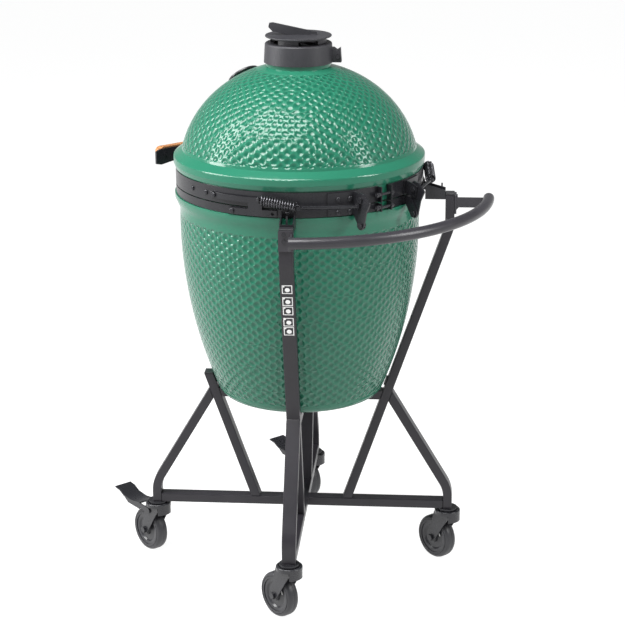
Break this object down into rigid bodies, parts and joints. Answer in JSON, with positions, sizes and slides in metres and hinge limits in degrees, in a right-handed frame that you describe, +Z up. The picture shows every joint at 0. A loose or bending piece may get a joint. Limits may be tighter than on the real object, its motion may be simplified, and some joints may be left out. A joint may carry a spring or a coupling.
{
  "type": "kamado ceramic grill",
  "caption": "Egg-shaped ceramic grill with a hinged dome, steel bands, wooden handle, chimney cap and draft door, in a tubular stand with a push bar and swivel casters.",
  "frame": {"origin": "on the floor, below the middle of the whole outline at rest", "axes": "+Z up, +Y towards the hinge and the push bar, -Y towards the handle, the draft door and the brake pedals"},
  "size_m": [0.5816, 0.8017, 1.236],
  "materials": {
    "green_glaze": "glossy dark green glaze, dimpled",
    "unglazed": "unglazed refractory",
    "felt": "woven gasket felt",
    "band_metal": "satin dark powder coat",
    "frame_metal": "fine textured dark grey powder coat",
    "bar_metal": "satin mid grey powder coat",
    "cap_iron": "painted cast metal, fine texture",
    "plated_steel": "black oxide",
    "spring_steel": "oiled spring wire",
    "wood": "oiled hardwood",
    "black_plastic": "moulded",
    "stainless": "brushed",
    "cast_grate": "seasoned",
    "glass": "clear",
    "dial_face": "printed dial",
    "needle_red": "painted",
    "hub_plastic": "moulded nylon",
    "tyre": "solid rubber",
    "pad": "soft pad"
  },
  "bodies": {
    "stand": {"base": "green_glaze", "fire_box": "unglazed", "fire_ring": "unglazed", "charcoal_grate": "cast_grate", "cooking_grid": "stainless", "lower_gasket": "felt", "lower_band": "band_metal", "lower_band_bolts": "plated_steel", "base_hinge_ears": "band_metal", "hinge_side_plates": "band_metal", "hinge_bolts": "plated_steel", "side_arms": "band_metal", "right_spring": "spring_steel", "left_spring": "spring_steel", "draft_frame": "stainless", "leg_clips": "band_metal", "rear_uprights": "frame_metal", "front_stays": "frame_metal", "outer_legs": "frame_metal", "lower_cross": "frame_metal", "egg_cross": "frame_metal", "tube_plugs": "black_plastic", "bumper_pads": "pad", "push_bar": "bar_metal", "push_bar_screws": "plated_steel", "caster_stems": "plated_steel"},
    "lid": {"dome": "green_glaze", "upper_gasket": "felt", "upper_band": "band_metal", "upper_band_bolts": "plated_steel", "dome_hinge_ears": "band_metal", "handle_bracket": "band_metal", "handle_grip": "wood", "handle_screws": "plated_steel", "damper_collar": "cap_iron", "damper_clamp_screw": "plated_steel", "thermometer_case": "stainless", "thermometer_glass": "glass", "thermometer_dial": "dial_face", "thermometer_stem": "stainless"},
    "needle": {"thermometer_needle": "needle_red"},
    "damper": {"damper_cap": "cap_iron"},
    "draft_door": {"draft_door": "stainless"},
    "draft_screen": {"draft_screen": "stainless"},
    "right_rod": {"right_spring_rod": "plated_steel"},
    "left_rod": {"left_spring_rod": "plated_steel"},
    "rear_right_swivel": {"rear_right_fork": "plated_steel"},
    "rear_right_wheel": {"rear_right_hub": "hub_plastic", "rear_right_tyre": "tyre"},
    "rear_left_swivel": {"rear_left_fork": "plated_steel"},
    "rear_left_wheel": {"rear_left_hub": "hub_plastic", "rear_left_tyre": "tyre"},
    "front_left_swivel": {"front_left_fork": "plated_steel"},
    "front_left_wheel": {"front_left_hub": "hub_plastic", "front_left_tyre": "tyre"},
    "front_left_brake": {"front_left_pedal": "plated_steel"},
    "front_right_swivel": {"front_right_fork": "plated_steel"},
    "front_right_wheel": {"front_right_hub": "hub_plastic", "front_right_tyre": "tyre"},
    "front_right_brake": {"front_right_pedal": "plated_steel"}
  },
  "joints": [
    {"name": "lid_hinge", "type": "hinge", "parent": "stand", "child": "lid", "pos_m": [0, 0.26273, 0.911], "axis": [-1, 0, 0], "range_deg": [0, 70]},
    {"name": "needle_turn", "type": "hinge", "parent": "lid", "child": "needle", "pos_m": [0, -0.2038, 1.087], "axis": [0, 0.6515, -0.7587], "range_deg": [0, 270]},
    {"name": "damper_turn", "type": "hinge", "parent": "lid", "child": "damper", "pos_m": [0, -0.02327, 1.19], "axis": [0, 0, 1], "range_deg": [0, 45]},
    {"name": "draft_door_slide", "type": "slide", "parent": "stand", "child": "draft_door", "axis": [1, 0, 0], "range_m": [0, 0.09]},
    {"name": "draft_screen_slide", "type": "slide", "parent": "stand", "child": "draft_screen", "axis": [1, 0, 0], "range_m": [0, 0.09]},
    {"name": "right_rod_slide", "type": "slide", "parent": "stand", "child": "right_rod", "axis": [0.863, -0.5045, 0.0253], "range_m": [0, 0.0099], "deforming": ["right_spring"]},
    {"name": "left_rod_slide", "type": "slide", "parent": "stand", "child": "left_rod", "axis": [-0.863, -0.5045, 0.0253], "range_m": [0, 0.0099], "deforming": ["left_spring"]},
    {"name": "rear_right_swivel_turn", "type": "hinge", "parent": "stand", "child": "rear_right_swivel", "pos_m": [0.23547, 0.2122, 0.122], "axis": [0, 0, 1], "continuous": true},
    {"name": "rear_right_wheel_roll", "type": "hinge", "parent": "rear_right_swivel", "child": "rear_right_wheel", "pos_m": [0.23547, 0.1792, 0.05], "axis": [1, 0, 0], "continuous": true},
    {"name": "rear_left_swivel_turn", "type": "hinge", "parent": "stand", "child": "rear_left_swivel", "pos_m": [-0.23547, 0.2122, 0.122], "axis": [0, 0, 1], "continuous": true},
    {"name": "rear_left_wheel_roll", "type": "hinge", "parent": "rear_left_swivel", "child": "rear_left_wheel", "pos_m": [-0.23547, 0.1792, 0.05], "axis": [1, 0, 0], "continuous": true},
    {"name": "front_left_swivel_turn", "type": "hinge", "parent": "stand", "child": "front_left_swivel", "pos_m": [-0.23547, -0.25873, 0.122], "axis": [0, 0, 1], "continuous": true},
    {"name": "front_left_wheel_roll", "type": "hinge", "parent": "front_left_swivel", "child": "front_left_wheel", "pos_m": [-0.23547, -0.29173, 0.05], "axis": [1, 0, 0], "continuous": true},
    {"name": "front_left_brake_press", "type": "hinge", "parent": "front_left_swivel", "child": "front_left_brake", "pos_m": [-0.23547, -0.27273, 0.104], "axis": [1, 0, 0], "range_deg": [0, 12]},
    {"name": "front_right_swivel_turn", "type": "hinge", "parent": "stand", "child": "front_right_swivel", "pos_m": [0.23547, -0.25873, 0.122], "axis": [0, 0, 1], "continuous": true},
    {"name": "front_right_wheel_roll", "type": "hinge", "parent": "front_right_swivel", "child": "front_right_wheel", "pos_m": [0.23547, -0.29173, 0.05], "axis": [1, 0, 0], "continuous": true},
    {"name": "front_right_brake_press", "type": "hinge", "parent": "front_right_swivel", "child": "front_right_brake", "pos_m": [0.23547, -0.27273, 0.104], "axis": [1, 0, 0], "range_deg": [0, 12]}
  ],
  "couplings": [
    {"joint": "right_rod_slide", "follows": "lid_hinge", "m_per_rad": 0.008},
    {"joint": "left_rod_slide", "follows": "lid_hinge", "m_per_rad": 0.008}
  ]
}
